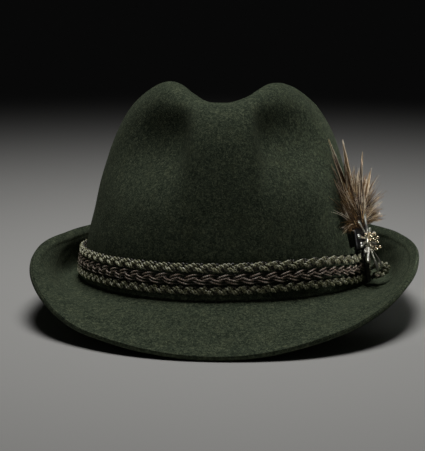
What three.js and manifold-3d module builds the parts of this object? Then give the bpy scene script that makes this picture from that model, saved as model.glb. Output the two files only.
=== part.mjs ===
// Felt hat with a creased and pinched crown, a brim turned up at the sides and back,
// a band of three braided cords, a black keeper, a plume in a black sleeve and a flower pin.
// Millimetres, +Z up. The front of the hat faces -Y and the wearer's left is +X.
// The origin is the middle of the bounding box, on the surface that the hat rests on.

import * as THREE from 'three';
import { mergeVertices } from 'three/addons/utils/BufferGeometryUtils.js';
import Module from 'manifold-3d';

const wasm = await Module();
wasm.setup();

// Felt: one wall for crown and brim

const FELT = 2.2;
const FILLET = 3.5; // round between crown and brim, on the outside
const GAP = 0.3; // clearance between pieces that touch

// Crown sections, above the line where the brim begins. Setback moves a section to the back.
const SECTIONS = [
  { height: 0, halfWidth: 86, halfLength: 104, setback: 0 },
  { height: 20, halfWidth: 83.6, halfLength: 103, setback: 0 },
  { height: 43, halfWidth: 78.3, halfLength: 100.5, setback: 1 },
  { height: 66, halfWidth: 73.3, halfLength: 96, setback: 2 },
  { height: 88, halfWidth: 66.6, halfLength: 89.2, setback: 3 },
  { height: 104, halfWidth: 58.6, halfLength: 81, setback: 4 },
  { height: 114.6, halfWidth: 49.8, halfLength: 71, setback: 5 },
  { height: 122.3, halfWidth: 39.5, halfLength: 60, setback: 6 },
  { height: 128, halfWidth: 25, halfLength: 42, setback: 7 },
  { height: 129.4, halfWidth: 0, halfLength: 0, setback: 8 },
];
const LEAN = { slope: 0.2, pivot: -45 }; // the top falls to the back from this y

// Crease along the top, from front to back
const CREASE = [
  { y: -95, depth: 3, halfWidth: 19 },
  { y: -72, depth: 11.6, halfWidth: 21 },
  { y: -40, depth: 21.4, halfWidth: 22.5 },
  { y: 0, depth: 27, halfWidth: 23 },
  { y: 40, depth: 22, halfWidth: 24 },
  { y: 70, depth: 8, halfWidth: 21 },
  { y: 90, depth: 2, halfWidth: 20 },
];
const CREASE_MIDDLE = 0.3; // of the crease, towards the wearer's left
const CREASE_POWER = 2.6;
const CREASE_LID = { from: 0.55, over: 0.42 }; // shares of the crown's height

// Finger pinches, one each side of the front ridge. Each reaches to the front ridge, to the side,
// up and down from its deepest point, in lengths along the wall.
const PINCHES = [
  { azimuth: -36, height: 81, front: 29, side: 38, up: 23, down: 23, depth: 14 },
  { azimuth: 37, height: 84, front: 25, side: 38, up: 21, down: 21, depth: 13 },
];
const PINCH_RADIUS = 82; // turns azimuth into length along the wall
const PINCH_POWER = { front: 5.5, other: 2.1 }; // how suddenly a pinch ends

// Brim: azimuth 0 is the front and 90 the wearer's left. The slope of its section, up being
// positive, goes from root to wall and then to edge, in degrees.
const BRIM = [
  { azimuth: -180, width: 43, root: -18, wall: 96, edge: 60 },
  { azimuth: -150, width: 41, root: -24, wall: 101, edge: 60 },
  { azimuth: -120, width: 36, root: -34, wall: 109, edge: 55 },
  { azimuth: -95, width: 36, root: -36, wall: 104, edge: 42 },
  { azimuth: -75, width: 37.8, root: -32, wall: 71, edge: 40 },
  { azimuth: -55, width: 40.8, root: -29, wall: 27, edge: 25 },
  { azimuth: -30, width: 42.8, root: -27, wall: -17, edge: -17 },
  { azimuth: 0, width: 45.4, root: -27, wall: -31, edge: -31 },
  { azimuth: 30, width: 46, root: -26, wall: -8, edge: -8 },
  { azimuth: 55, width: 42.6, root: -24, wall: 28, edge: 24 },
  { azimuth: 75, width: 41, root: -24, wall: 60, edge: 38 },
  { azimuth: 95, width: 38.4, root: -26, wall: 84, edge: 46 },
  { azimuth: 120, width: 37, root: -28, wall: 97, edge: 50 },
  { azimuth: 150, width: 41, root: -22, wall: 97, edge: 60 },
  { azimuth: 180, width: 43, root: -18, wall: 96, edge: 60 },
];
const WALL_SHARE = 0.54; // of the width, over which the slope goes from root to wall
const FLARE_SHARE = 0.3; // of the width, over which it goes from wall to edge
const FILLET_SHARE = 0.12; // of the brim's own parameter, before its width begins
const SLOPE_STEPS = 48;

// How the hat rests: on its front edge and the fold of the brim at the back
const PITCH = 4.87; // nose up, in degrees
const LIFT = 11.84; // of the brim line over the surface
const MIDDLE = { x: 2.5, y: -10.2 }; // of the bounding box, seen from the brim line's centre

// Mesh steps
const AROUND = 60;
const CROWN_ROWS = 15;
const FILLET_ROWS = 3;
const BRIM_ROWS = 9;

// Band: three cords, by the height of their middle on the wall
const CORDS = [
  { name: 'lower_cord', height: 4.2, tall: 5.2, thick: 3.6, colour: '#8b8a62' },
  { name: 'middle_cord', height: 10.1, tall: 6, thick: 3.8, colour: '#7d6756' },
  { name: 'upper_cord', height: 16.2, tall: 5.6, thick: 3.6, colour: '#8b8a62' },
];
const CORD_SIDES = 6;
// How much higher the band sits towards the front than at the sides and the back
const BAND_RISE = [
  { azimuth: -180, rise: 0 },
  { azimuth: -100, rise: 0 },
  { azimuth: -75, rise: 1.2 },
  { azimuth: -45, rise: 1.8 },
  { azimuth: 0, rise: 2.4 },
  { azimuth: 28, rise: 3 },
  { azimuth: 45, rise: 2.6 },
  { azimuth: 66, rise: 0 },
  { azimuth: 180, rise: 0 },
];

// Trim on the wearer's left, placed by azimuth and by height on the wall
const TRIM = { azimuth: 70, height: 19 };
const KEEPER = { wide: 8, leather: 1.4, top: 1.2, bottom: -18.2, lip: 3.4 };
const SLEEVE = {
  halfWide: 14.5,
  halfDeep: 3,
  tall: 12,
  out: 3.6,
  wall: 0.8,
  floor: 2,
  taper: 0.88, // of the foot against the rim
  sides: 20,
};
const GREEN_LOOP = {
  radius: 1.9,
  reach: 12,
  bulge: 3, // how much farther out the bight is than the feet
  first: { up: -5, out: 6.3 },
  last: { up: -12.4, out: 6.3 },
};
const BROWN_LOOP = {
  radius: 1.4,
  reach: 7,
  bulge: 0,
  first: { up: -16.4, out: 5.6 },
  last: { up: -16.4, out: 9 },
};
const LOOP_STEPS = 14;
const LOOP_SHOULDER = 0.6; // share of the reach where a loop begins to turn
const PIN = {
  height: 6.5,
  out: 8.2,
  plate: 5,
  thick: 1.6,
  bead: 1.25,
  ring: 3.4, // radius of the ring of beads
  beads: 7, // round the middle one
  beadRise: 0.9,
  middleRise: 1.1,
};

// Petals and stems of the pin: angle from straight up, towards the front of the hat
const PETALS = [
  { angle: -4, length: 15.5, halfWide: 1.5 },
  { angle: 26, length: 14.5, halfWide: 1.3 },
  { angle: 58, length: 12.5, halfWide: 1.5 },
  { angle: 96, length: 10.5, halfWide: 1.7 },
  { angle: 136, length: 10, halfWide: 1.4 },
  { angle: 172, length: 13.5, halfWide: 1.3 },
  { angle: 190, length: 18.5, halfWide: 1.2 },
  { angle: 203, length: 15, halfWide: 0.9 },
  { angle: 244, length: 10, halfWide: 1.4 },
  { angle: 284, length: 11, halfWide: 1.6 },
  { angle: 322, length: 12.5, halfWide: 1.4 },
];
const PETAL_RISE = 0.12; // tips bend outwards by this share of their length
// Petals by share of their length: how far they have risen and how wide they are
const PETAL_SHAPE = [
  { share: 0.1, rise: 0, wide: 0.7 },
  { share: 0.4, rise: 0.3, wide: 1 },
  { share: 0.8, rise: 1, wide: 0.9 },
  { share: 1, rise: 0.8, wide: 0.4 },
];
const PETAL_FLAT = 0.45; // thickness over width
const PETAL_SIDES = 6;

// Locks of the plume: tip along the wall, up it and out from it, foot and half width
const LOCKS = [
  { along: -6, up: 67, out: 2, foot: -3, half: 2.6 },
  { along: -16, up: 64, out: -1.5, foot: -6, half: 2.4 },
  { along: 8, up: 58, out: 9.5, foot: 3, half: 2.6 },
  { along: 14, up: 47, out: 11.8, foot: 5, half: 3 },
  { along: -11, up: 56, out: 2.5, foot: -5, half: 3.2 },
  { along: 1, up: 55, out: 6, foot: 0, half: 3.4 },
  { along: -20, up: 46, out: 0.5, foot: -7, half: 3.4 },
  { along: 19, up: 38, out: 9, foot: 7, half: 3.6 },
  { along: -25, up: 33, out: 1, foot: -8, half: 3.8 },
  { along: 17, up: 32, out: 16, foot: 5, half: 3.6 },
  { along: -9, up: 36, out: 9, foot: -3, half: 4.4 },
  { along: 5, up: 36, out: 13.5, foot: 1, half: 4.4 },
  { along: -22, up: 21, out: 3, foot: -8, half: 3.4 },
  { along: 23, up: 24, out: 11, foot: 8, half: 3.4 },
];
const LOCK_SIDES = 5;
const LOCK_STEPS = 4;
const LOCK_FLAT = 0.8; // thickness over width
const LOCK_SHAPE = { core: 0.35, foot: 0.25, swell: 2.2, taper: 1.2 }; // radius along a lock
const LOCK_LAG = 0.3; // share of the way out that a lock has gone at half its length
const PLUME_RISE = 1.2; // where the locks begin, above the sleeve's rim
const PLUME_KNOT = { halfWide: 10, halfTall: 4.5, halfDeep: 1.9, sink: 2 }; // binds them in the sleeve

// Colour, roughness and metalness of each material
const MATERIALS = {
  felt: { color: '#4c5647', roughness: 0.95, metalness: 0 },
  leather: { color: '#141312', roughness: 0.45, metalness: 0 },
  feather: { color: '#9a7c58', roughness: 0.9, metalness: 0 },
  silver: { color: '#cfccc2', roughness: 0.28, metalness: 1 },
};

const radians = THREE.MathUtils.degToRad;

// Monotone cubic through one column of a table, with chosen end slopes
function curve(rows, key, column, firstSlope, lastSlope) {
  const x = rows.map((row) => row[key]);
  const y = rows.map((row) => row[column]);
  const last = x.length - 1;
  const step = x.slice(1).map((value, i) => value - x[i]);
  const rise = step.map((value, i) => (y[i + 1] - y[i]) / value);
  const slope = y.map((_, i) => {
    if (i === 0) return firstSlope ?? rise[0];
    if (i === last) return lastSlope ?? rise[last - 1];
    if (rise[i - 1] * rise[i] <= 0) return 0;
    const before = 2 * step[i] + step[i - 1];
    const after = step[i] + 2 * step[i - 1];
    return (before + after) / (before / rise[i - 1] + after / rise[i]);
  });
  return (value) => {
    const at = THREE.MathUtils.clamp(value, x[0], x[last]);
    let i = 0;
    while (i < last - 1 && at >= x[i + 1]) i += 1;
    const t = (at - x[i]) / step[i];
    const near = (1 + 2 * t) * (1 - t) ** 2 * y[i] + t * (1 - t) ** 2 * step[i] * slope[i];
    const far = t * t * (3 - 2 * t) * y[i + 1] + t * t * (t - 1) * step[i] * slope[i + 1];
    return near + far;
  };
}

// Sections by their share of the way up the profile at the side, from 0 at the brim to 1 at the top
function withRun(rows) {
  let run = 0;
  const runs = rows.map((row, i) => {
    const below = rows[Math.max(i - 1, 0)];
    run += Math.hypot(row.height - below.height, row.halfWidth - below.halfWidth);
    return run;
  });
  return rows.map((row, i) => ({ ...row, run: runs[i] / run }));
}

const CROWN = withRun(SECTIONS);
const CROWN_TOP = SECTIONS[SECTIONS.length - 1].height;
const FOOT_RUN = (CROWN[1].run * FILLET) / CROWN[1].height; // the wall begins above the fillet
const heightAt = curve(CROWN, 'run', 'height', undefined, 0);
const halfWidthAt = curve(CROWN, 'run', 'halfWidth');
const halfLengthAt = curve(CROWN, 'run', 'halfLength');
const setbackAt = curve(CROWN, 'run', 'setback');
const creaseDepthAt = curve(CREASE, 'y', 'depth');
const creaseWidthAt = curve(CREASE, 'y', 'halfWidth');
const brimWidthAt = curve(BRIM, 'azimuth', 'width', 0, 0);
const brimRootAt = curve(BRIM, 'azimuth', 'root', 0, 0);
const brimWallAt = curve(BRIM, 'azimuth', 'wall', 0, 0);
const brimEdgeAt = curve(BRIM, 'azimuth', 'edge', 0, 0);
const bandRiseAt = curve(BAND_RISE, 'azimuth', 'rise', 0, 0);

// Direction out of the wall in plan
function outward(azimuth) {
  const x = Math.sin(azimuth) / SECTIONS[0].halfWidth;
  const y = -Math.cos(azimuth) / SECTIONS[0].halfLength;
  return new THREE.Vector2(x, y).normalize();
}

// Wall of the crown, share 0 at its foot and 1 at the top
function crownPoint(azimuth, share) {
  const run = FOOT_RUN + share * (1 - FOOT_RUN);
  const height = heightAt(run);
  const level = height / CROWN_TOP;
  const out = outward(azimuth);
  let x = halfWidthAt(run) * Math.sin(azimuth);
  let y = setbackAt(run) - halfLengthAt(run) * Math.cos(azimuth);
  let z = height - LEAN.slope * (y - LEAN.pivot) * level * level;
  for (const pinch of PINCHES) {
    const rise = height - pinch.height;
    const along = Math.abs(rise / (rise > 0 ? pinch.up : pinch.down));
    const turn = THREE.MathUtils.euclideanModulo(azimuth - radians(pinch.azimuth) + Math.PI, 2 * Math.PI);
    const away = (turn - Math.PI) * Math.sign(pinch.azimuth) * PINCH_RADIUS;
    const ahead = Math.max(-away, 0) / pinch.front;
    const aside = Math.max(away, 0) / pinch.side;
    const fade = ahead ** PINCH_POWER.front + aside ** PINCH_POWER.other + along ** PINCH_POWER.other;
    const dent = pinch.depth * Math.exp(-fade);
    x -= out.x * dent;
    y -= out.y * dent;
  }
  const lid = THREE.MathUtils.smoothstep(level, CREASE_LID.from, CREASE_LID.from + CREASE_LID.over);
  const across = Math.abs((x - CREASE_MIDDLE) / creaseWidthAt(y));
  z -= creaseDepthAt(y) * Math.exp(-(across ** CREASE_POWER)) * lid;
  return new THREE.Vector3(x, y, z);
}

// Upper face of the brim, share 0 at the foot of the crown and 1 at the edge
function brimPoint(azimuth, share) {
  const degrees = THREE.MathUtils.radToDeg(azimuth);
  const wrapped = THREE.MathUtils.euclideanModulo(degrees + 180, 360) - 180;
  const width = brimWidthAt(wrapped);
  const root = radians(brimRootAt(wrapped));
  const wall = radians(brimWallAt(wrapped));
  const edge = radians(brimEdgeAt(wrapped));
  const round = Math.min(share / FILLET_SHARE, 1) * (Math.PI / 2 + root);
  let across = FILLET * (1 - Math.cos(round));
  let up = -FILLET * Math.sin(round);
  const way = Math.max((share - FILLET_SHARE) / (1 - FILLET_SHARE), 0);
  for (let k = 0; k < SLOPE_STEPS; k += 1) {
    const here = (way * (k + 0.5)) / SLOPE_STEPS;
    const turned = THREE.MathUtils.smoothstep(here, 0, WALL_SHARE);
    const flared = THREE.MathUtils.smoothstep(here, 1 - FLARE_SHARE, 1);
    const slope = root + (wall - root) * turned + (edge - wall) * flared;
    across += (Math.cos(slope) * width * way) / SLOPE_STEPS;
    up += (Math.sin(slope) * width * way) / SLOPE_STEPS;
  }
  const out = outward(azimuth);
  return crownPoint(azimuth, 0).add(new THREE.Vector3(out.x * across, out.y * across, up));
}

// Outer face of the felt: place -1 is the top of the crown, 0 its foot and 1 the brim's edge
function feltPoint(azimuth, place) {
  return place < 0 ? crownPoint(azimuth, -place) : brimPoint(azimuth, place);
}

// Unit normal of that face, by small steps both ways
function feltNormal(azimuth, place) {
  const small = 1e-3;
  const low = Math.max(place - small, -1 + small);
  const high = Math.min(place + small, 1);
  const around = feltPoint(azimuth + small, place).sub(feltPoint(azimuth - small, place));
  const down = feltPoint(azimuth, high).sub(feltPoint(azimuth, low));
  return down.cross(around).normalize();
}

// Mesh from points and triangles that share vertices
function meshGeometry(points, triangles) {
  const geometry = new THREE.BufferGeometry().setFromPoints(points);
  geometry.setIndex(triangles.flat());
  geometry.computeVertexNormals();
  return geometry;
}

// Triangles between two rings of equal count; the rings start at the given vertices
function band(upper, lower, count) {
  return Array.from({ length: count }, (_, j) => {
    const next = (j + 1) % count;
    return [upper + j, lower + j, lower + next, upper + j, lower + next, upper + next];
  }).flat();
}

// Triangles from one vertex to a ring
function fan(tip, ring, count) {
  return Array.from({ length: count }, (_, j) => [tip, ring + j, ring + ((j + 1) % count)]).flat();
}

// Turn and lift from the hat's own frame to the way it rests
function settle() {
  const turn = new THREE.Matrix4().makeRotationX(-radians(PITCH));
  return turn.setPosition(-MIDDLE.x, -MIDDLE.y, LIFT);
}

// Rings of one face of the felt, pressed flat where it would pass below the surface
function feltFace(depth) {
  const resting = settle();
  const places = [];
  for (let i = 1; i <= CROWN_ROWS; i += 1) places.push(i / CROWN_ROWS - 1);
  for (let i = 1; i <= FILLET_ROWS; i += 1) places.push((FILLET_SHARE * i) / FILLET_ROWS);
  for (let i = 1; i <= BRIM_ROWS; i += 1) {
    places.push(FILLET_SHARE + ((1 - FILLET_SHARE) * i) / BRIM_ROWS);
  }
  const press = (point) => point.setZ(Math.max(point.z, 0));
  const top = feltPoint(0, -1).add(new THREE.Vector3(0, 0, -depth));
  const points = [press(top.applyMatrix4(resting))];
  for (const place of places) {
    for (let j = 0; j < AROUND; j += 1) {
      const azimuth = (2 * Math.PI * j) / AROUND;
      const point = feltPoint(azimuth, place).addScaledVector(feltNormal(azimuth, place), -depth);
      points.push(press(point.applyMatrix4(resting)));
    }
  }
  return points;
}

// Crown and brim, one wall of felt, open below
function feltBody() {
  const outer = feltFace(0);
  const inner = feltFace(FELT);
  const rings = CROWN_ROWS + FILLET_ROWS + BRIM_ROWS;
  const ring = (i) => 1 + i * AROUND;
  const skin = fan(0, ring(0), AROUND);
  for (let i = 0; i < rings - 1; i += 1) skin.push(...band(ring(i), ring(i + 1), AROUND));
  const lining = skin.map((_, i) => outer.length + skin[i - (i % 3) + [0, 2, 1][i % 3]]);
  const rim = band(ring(rings - 1), outer.length + ring(rings - 1), AROUND);
  return meshGeometry([...outer, ...inner], [skin, lining, rim]);
}

// Share of the crown wall that has the given height
function shareAt(height) {
  let low = 0;
  let high = 1;
  for (let k = 0; k < 40; k += 1) {
    const middle = (low + high) / 2;
    if (heightAt(FOOT_RUN + middle * (1 - FOOT_RUN)) < height) low = middle;
    else high = middle;
  }
  return low;
}

// Frame on the wall: x along it to the back, y up it, z out of it
function wallFrame(azimuth, height) {
  const place = -shareAt(height);
  const out = feltNormal(azimuth, place);
  const above = feltPoint(azimuth, place - 1e-3).sub(feltPoint(azimuth, place));
  const up = above.addScaledVector(out, -above.dot(out)).normalize();
  const along = up.clone().cross(out);
  return new THREE.Matrix4().makeBasis(along, up, out).setPosition(feltPoint(azimuth, place));
}

// Closed ring of oval section round the crown
function cordRing({ height, tall, thick }) {
  const points = [];
  const triangles = [];
  for (let j = 0; j < AROUND; j += 1) {
    const azimuth = (2 * Math.PI * j) / AROUND;
    const degrees = THREE.MathUtils.radToDeg(azimuth);
    const rise = bandRiseAt(degrees > 180 ? degrees - 360 : degrees);
    const frame = wallFrame(azimuth, height + rise);
    for (let k = 0; k < CORD_SIDES; k += 1) {
      const angle = (2 * Math.PI * k) / CORD_SIDES;
      const up = ((tall / 2) * Math.sin(angle)) / Math.cos(Math.PI / CORD_SIDES);
      const out = GAP + (thick / 2) * (1 + Math.cos(angle));
      points.push(new THREE.Vector3(0, up, out).applyMatrix4(frame));
    }
    triangles.push(band(j * CORD_SIDES, ((j + 1) % AROUND) * CORD_SIDES, CORD_SIDES));
  }
  return meshGeometry(points, triangles);
}

// Solid of a closed mesh, ready to join
function solidOf(geometry) {
  const bare = geometry.clone();
  bare.deleteAttribute('normal');
  bare.deleteAttribute('uv');
  const merged = mergeVertices(bare.index ? bare : mergeVertices(bare), 1e-4);
  const mesh = new wasm.Mesh({
    numProp: 3,
    vertProperties: merged.attributes.position.array,
    triVerts: Uint32Array.from(merged.index.array),
  });
  return new wasm.Manifold(mesh);
}

// Mesh of a solid
function geometryOf(solid) {
  const { vertProperties, triVerts } = solid.getMesh();
  const geometry = new THREE.BufferGeometry();
  geometry.setAttribute('position', new THREE.Float32BufferAttribute(vertProperties, 3));
  geometry.setIndex(Array.from(triVerts));
  geometry.computeVertexNormals();
  return geometry;
}

// Several closed meshes fused into one
function fuse(geometries) {
  return geometryOf(geometries.map(solidOf).reduce((whole, piece) => whole.add(piece)));
}

// Round bar through a row of centres, with a radius along the bar, an oval share and closed ends
function taperedBar(centres, radii, flat, sides) {
  const points = [];
  const triangles = [];
  centres.forEach((centre, i) => {
    const before = centres[Math.max(i - 1, 0)];
    const after = centres[Math.min(i + 1, centres.length - 1)];
    const way = after.clone().sub(before).normalize();
    const wide = new THREE.Vector3(0, 0, 1).cross(way).normalize();
    const deep = way.clone().cross(wide);
    for (let k = 0; k < sides; k += 1) {
      const angle = (2 * Math.PI * k) / sides;
      const point = centre.clone().addScaledVector(wide, radii[i] * Math.cos(angle));
      points.push(point.addScaledVector(deep, radii[i] * flat * Math.sin(angle)));
    }
    if (i > 0) triangles.push(band(i * sides, (i - 1) * sides, sides));
  });
  const last = (centres.length - 1) * sides;
  points.push(centres[0].clone(), centres[centres.length - 1].clone());
  const closeFirst = fan(points.length - 2, 0, sides);
  triangles.push(closeFirst.map((_, i) => closeFirst[i - (i % 3) + [0, 2, 1][i % 3]]));
  triangles.push(fan(points.length - 1, last, sides));
  return meshGeometry(points, triangles);
}

// Leather keeper: a bent strap over the three cords, with a lip to the wall above them
function keeper() {
  const near = GAP + Math.max(...CORDS.map((cord) => cord.thick)) + GAP;
  const far = near + KEEPER.leather;
  const shape = new THREE.Shape();
  shape.moveTo(far, KEEPER.bottom);
  shape.lineTo(far, KEEPER.top);
  shape.lineTo(far - KEEPER.leather, KEEPER.top + KEEPER.leather);
  shape.lineTo(near - KEEPER.lip, KEEPER.top + KEEPER.leather);
  shape.lineTo(near - KEEPER.lip, KEEPER.top);
  shape.lineTo(near, KEEPER.top);
  shape.lineTo(near, KEEPER.bottom);
  const strap = new THREE.ExtrudeGeometry(shape, { depth: KEEPER.wide, bevelEnabled: false });
  strap.translate(0, 0, -KEEPER.wide / 2);
  strap.rotateY(-Math.PI / 2); // the outline's x becomes out of the wall
  return strap;
}

// Height of the sleeve's foot and rim over the middle of the trim
const SLEEVE_FOOT = KEEPER.top + KEEPER.leather + GAP;
const SLEEVE_RIM = SLEEVE_FOOT + SLEEVE.tall;

// Oval cup that holds the plume
function sleeve() {
  const { halfWide, halfDeep, tall, out, wall, floor, taper, sides } = SLEEVE;
  const oval = (wide, deep, height) => {
    const tube = new THREE.CylinderGeometry(1, taper, height, sides);
    return tube.scale(wide, 1, deep);
  };
  const outside = oval(halfWide, halfDeep, tall).translate(0, SLEEVE_RIM - tall / 2, out);
  const inside = oval(halfWide - wall, halfDeep - wall, tall);
  inside.translate(0, SLEEVE_RIM - tall / 2 + floor, out);
  return geometryOf(solidOf(outside).subtract(solidOf(inside)));
}

// Plume: tapered locks that fan out of the sleeve
function plume() {
  const { core, foot: thin, swell, taper } = LOCK_SHAPE;
  const locks = LOCKS.map(({ along, up, out, foot, half }) => {
    const from = new THREE.Vector3(foot, SLEEVE_RIM + PLUME_RISE, SLEEVE.out);
    const tip = new THREE.Vector3(along, up, out);
    const middle = from.clone().lerp(tip, 0.5).setZ(THREE.MathUtils.lerp(from.z, tip.z, LOCK_LAG));
    const centres = new THREE.QuadraticBezierCurve3(from, middle, tip).getPoints(LOCK_STEPS);
    const radii = centres.map((_, i) => {
      const t = i / LOCK_STEPS;
      return core + half * (thin + swell * t) * (1 - t) ** taper;
    });
    return taperedBar(centres, radii, LOCK_FLAT, LOCK_SIDES);
  });
  const knot = new THREE.SphereGeometry(1, 12, 6);
  knot.scale(PLUME_KNOT.halfWide, PLUME_KNOT.halfTall, PLUME_KNOT.halfDeep);
  knot.translate(0, SLEEVE_RIM - PLUME_KNOT.sink, SLEEVE.out);
  return fuse([knot, ...locks]);
}

// Flower pin: plate, petals, stems and a cluster of beads, soldered into one
function flowerPin() {
  const { plate, thick, bead, ring } = PIN;
  const parts = [new THREE.CylinderGeometry(plate, plate, thick, 14).rotateX(Math.PI / 2)];
  for (const { angle, length, halfWide } of PETALS) {
    const turn = radians(angle);
    const centres = PETAL_SHAPE.map(({ share, rise }) => {
      const flat = new THREE.Vector3(-Math.sin(turn) * share, Math.cos(turn) * share, rise * PETAL_RISE);
      return flat.multiplyScalar(length);
    });
    const radii = PETAL_SHAPE.map(({ wide }) => halfWide * wide);
    parts.push(taperedBar(centres, radii, PETAL_FLAT, PETAL_SIDES));
  }
  const places = [[0, 0, PIN.middleRise]];
  for (let k = 0; k < PIN.beads; k += 1) {
    const angle = (2 * Math.PI * k) / PIN.beads;
    places.push([ring * Math.cos(angle), ring * Math.sin(angle), PIN.beadRise]);
  }
  for (const [x, y, rise] of places) {
    const ball = new THREE.OctahedronGeometry(bead, 1);
    parts.push(ball.translate(x, y, thick / 2 + rise));
  }
  return fuse(parts);
}

// Loop of cord beside the keeper, from its first foot round to its last
function endLoop({ radius, reach, bulge, first, last }) {
  const start = KEEPER.wide / 2 + GAP;
  const side = (foot, share) => {
    return new THREE.Vector3(start + reach * share, foot.up, foot.out + bulge * share);
  };
  const turn = side(first, 1).lerp(side(last, 1), 0.5);
  const feet = [side(first, 0), side(first, LOOP_SHOULDER), turn, side(last, LOOP_SHOULDER), side(last, 0)];
  const section = new THREE.Shape().absarc(0, 0, radius, 0, 2 * Math.PI);
  return new THREE.ExtrudeGeometry(section, {
    steps: LOOP_STEPS,
    curveSegments: 4,
    extrudePath: new THREE.CatmullRomCurve3(feet),
    bevelEnabled: false,
  });
}

// Named mesh with its own material
function piece(name, geometry, look) {
  const mesh = new THREE.Mesh(geometry, new THREE.MeshStandardMaterial(look));
  mesh.name = name;
  return mesh;
}

const onWall = new THREE.Group();
wallFrame(radians(TRIM.azimuth), TRIM.height).decompose(onWall.position, onWall.quaternion, onWall.scale);
onWall.add(piece('cord_keeper', keeper(), MATERIALS.leather));
onWall.add(piece('plume_sleeve', sleeve(), MATERIALS.leather));
onWall.add(piece('plume', plume(), MATERIALS.feather));
onWall.add(piece('green_end_loop', endLoop(GREEN_LOOP), { ...MATERIALS.felt, color: '#8b8a62' }));
onWall.add(piece('brown_end_loop', endLoop(BROWN_LOOP), { ...MATERIALS.felt, color: '#6a5546' }));
const flower = piece('flower_pin', flowerPin(), MATERIALS.silver);
flower.position.set(0, PIN.height, PIN.out);
onWall.add(flower);

const trim = new THREE.Group();
settle().decompose(trim.position, trim.quaternion, trim.scale);
for (const cord of CORDS) {
  trim.add(piece(cord.name, cordRing(cord), { ...MATERIALS.felt, color: cord.colour }));
}
trim.add(onWall);

const hat = new THREE.Group();
hat.add(piece('felt_body', feltBody(), MATERIALS.felt));
hat.add(trim);

export default hat;
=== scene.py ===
"""Felt hat with a creased and pinched crown, a band of braided cords, a plume and a flower pin.

Sizes are in millimetres in the hat's own frame, in which the line where the brim begins is level,
and settle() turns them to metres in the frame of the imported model, where the hat rests on its front
edge and its back fold. The front of the hat faces -Y and the wearer's left is +X.
"""

import bpy
import numpy as np
from mathutils import Matrix


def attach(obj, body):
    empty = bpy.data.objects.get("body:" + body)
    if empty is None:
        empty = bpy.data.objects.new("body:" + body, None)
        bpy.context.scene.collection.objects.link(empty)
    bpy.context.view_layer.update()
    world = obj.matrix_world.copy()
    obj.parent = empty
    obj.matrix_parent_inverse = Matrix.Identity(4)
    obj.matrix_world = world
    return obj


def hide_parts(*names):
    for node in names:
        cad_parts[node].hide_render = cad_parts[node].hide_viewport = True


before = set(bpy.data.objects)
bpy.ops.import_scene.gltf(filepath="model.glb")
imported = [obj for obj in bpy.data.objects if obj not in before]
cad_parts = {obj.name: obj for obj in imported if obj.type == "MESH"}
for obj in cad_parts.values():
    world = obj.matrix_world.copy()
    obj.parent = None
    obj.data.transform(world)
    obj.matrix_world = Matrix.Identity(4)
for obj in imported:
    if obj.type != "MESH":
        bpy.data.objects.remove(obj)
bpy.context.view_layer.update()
rng = np.random.default_rng(7)  # seeded, so that every run draws the same
MM = 0.001
# Step at which a slope is measured on the felt, in radians and in shares of the way down it
SMALL = 1e-3
# Axes of the trim's frame: along the wall to the back, up it and out of it
ALONG, UP, OUT = np.eye(3)

# Form of the felt, with the same named sizes as the part's source: thickness, round of the crown's
# foot, and the ellipses of the crown from the brim line up
FELT = 2.2
FILLET = 3.5
SECTIONS = {
    "height": [0, 20, 43, 66, 88, 104, 114.6, 122.3, 128, 129.4],
    "half_width": [86, 83.6, 78.3, 73.3, 66.6, 58.6, 49.8, 39.5, 25, 0],
    "half_length": [104, 103, 100.5, 96, 89.2, 81, 71, 60, 42, 0],
    "setback": [0, 0, 1, 2, 3, 4, 5, 6, 7, 8],
}
# Top of the crown: its fall to the back, and the y where it keeps its height
LEAN_SLOPE = 0.2
LEAN_PIVOT = -45
# Crease along the top by y, and then its middle, from which level it fades in and over how much,
# and how steep its sides are
CREASE = {
    "y": [-95, -72, -40, 0, 40, 70, 90],
    "depth": [3, 11.6, 21.4, 27, 22, 8, 2],
    "half_width": [19, 21, 22.5, 23, 24, 21, 20],
}
CREASE_MIDDLE = 0.3
CREASE_FROM = 0.55
CREASE_OVER = 0.42
CREASE_POWER = 2.6
# Two finger pinches: the middle of each, its reach to the front, to the side, up and down, and its
# depth
PINCHES = {
    "azimuth": [-36, 37],
    "height": [81, 84],
    "front": [29, 25],
    "side": [38, 38],
    "up": [23, 21],
    "down": [23, 21],
    "depth": [14, 13],
}
PINCH_RADIUS = 82
FRONT_POWER = 5.5
PINCH_POWER = 2.1
# Brim by azimuth, 0 at the front and positive on the wearer's left: its width, and its slope in
# degrees at the root, on the wall that is turned up and at the edge, with the shares of the width
# that the changes take
BRIM = {
    "azimuth": [-180, -150, -120, -95, -75, -55, -30, 0, 30, 55, 75, 95, 120, 150, 180],
    "width": [43, 41, 36, 36, 37.8, 40.8, 42.8, 45.4, 46, 42.6, 41, 38.4, 37, 41, 43],
    "root": [-18, -24, -34, -36, -32, -29, -27, -27, -26, -24, -24, -26, -28, -22, -18],
    "wall": [96, 101, 109, 104, 71, 27, -17, -31, -8, 28, 60, 84, 97, 97, 96],
    "edge": [60, 60, 55, 42, 40, 25, -17, -31, -8, 24, 38, 46, 50, 60, 60],
}
WALL_SHARE = 0.54
FLARE_SHARE = 0.3
FILLET_SHARE = 0.12
CURL_STEPS = 48
# How the hat rests: degrees nose up, height, and the middle of its plan
PITCH = 4.87
LIFT = 11.84
MIDDLE = (2.5, -10.2)

# Mesh of the felt: columns round it and rows on each part
FELT_COLUMNS = 300
CROWN_ROWS = 122
FILLET_ROWS = 8
BRIM_ROWS = 56
# Waves that blocking by hand leaves: height, how many go round the hat, how fast they turn down it,
# and phase
WAVES = [(0.16, 5, 9, 0), (0.12, 11, -13, 1.3), (0.07, 23, 31, 0.7)]
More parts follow.
